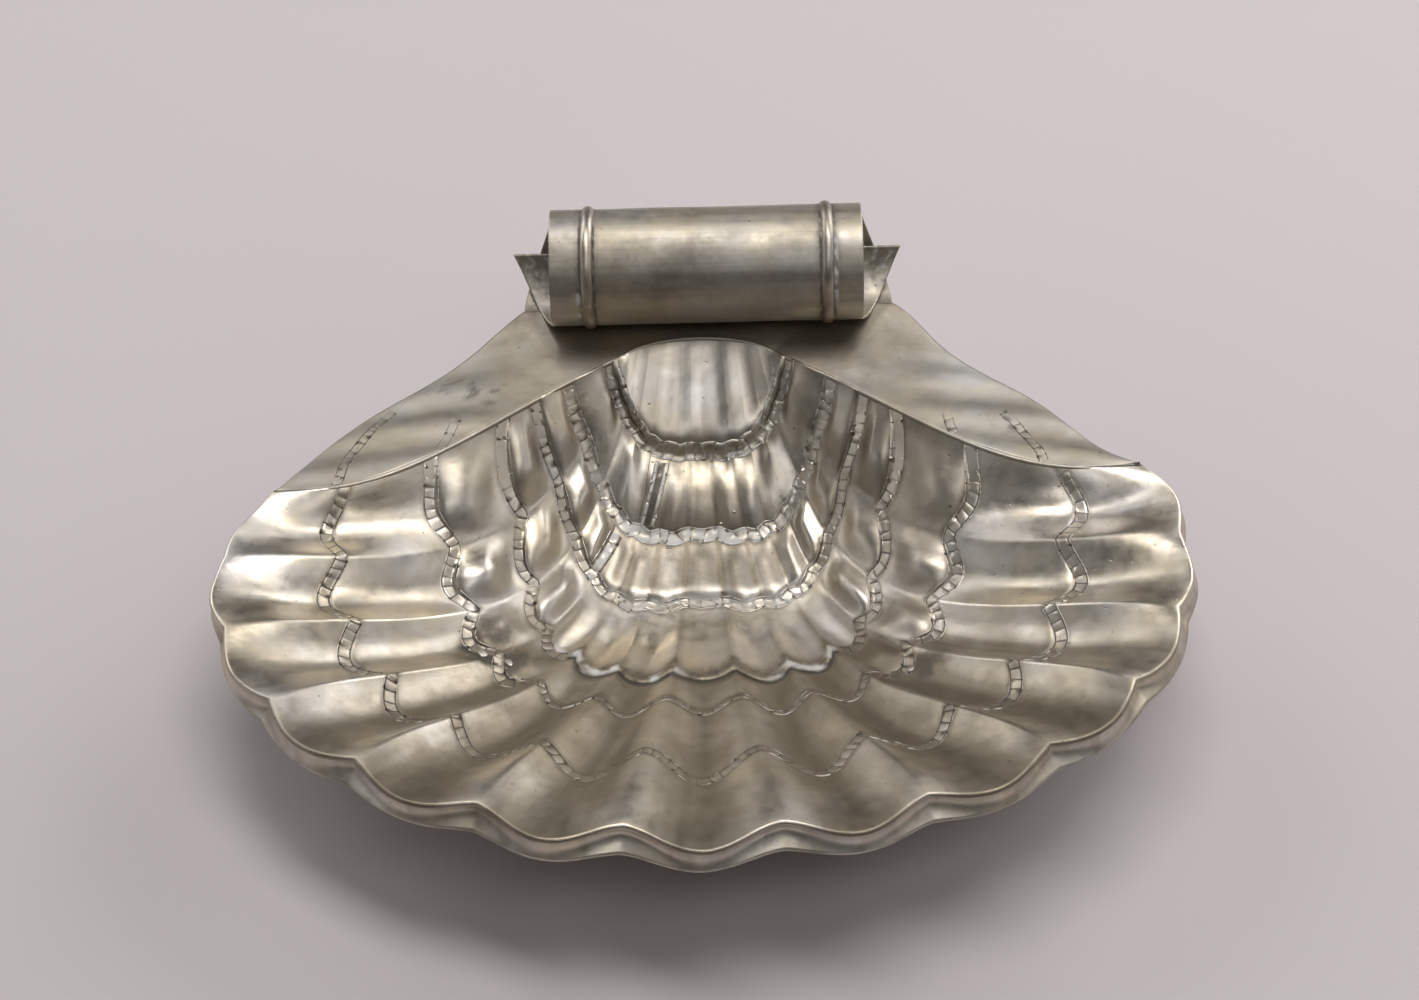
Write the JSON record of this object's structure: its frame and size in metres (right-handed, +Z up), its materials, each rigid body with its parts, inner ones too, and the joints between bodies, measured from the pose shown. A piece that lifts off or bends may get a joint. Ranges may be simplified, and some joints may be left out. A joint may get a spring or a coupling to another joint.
{
  "type": "shell dish",
  "caption": "Scallop shell dish of raised pewter sheet, with fluted lobes, stepped growth bands, a folded collar and a rolled scroll at the hinge, on a low oval foot.",
  "frame": {"origin": "on the table under the middle of the dish's overall width and depth", "axes": "+Z up, +Y towards the hinge and its scroll, -Y towards the open front, +X to the right seen from the front"},
  "size_m": [0.4524, 0.3666, 0.1388],
  "materials": {
    "pewter_bowl": "hand-polished pewter with darker patina in the hollows",
    "pewter_skirt": "worn pewter with file marks",
    "pewter_collar": "soft satin pewter",
    "pewter_scroll": "soft satin pewter with small scratches",
    "pewter_ring": "soldered pewter wire",
    "pewter_foot": "dull pewter"
  },
  "bodies": {
    "root": {"umbo_plate": "pewter_bowl", "tier_2_left": "pewter_bowl", "tier_2_right": "pewter_bowl", "tier_3_left": "pewter_bowl", "tier_3_right": "pewter_bowl", "tier_4": "pewter_bowl", "tier_5": "pewter_bowl", "tier_6": "pewter_bowl", "rim_plate": "pewter_bowl", "rim_skirt": "pewter_skirt", "collar_plate": "pewter_collar", "scroll_roll": "pewter_scroll", "scroll_ring_left": "pewter_ring", "scroll_ring_right": "pewter_ring", "foot_ring": "pewter_foot"}
  },
  "joints": []
}
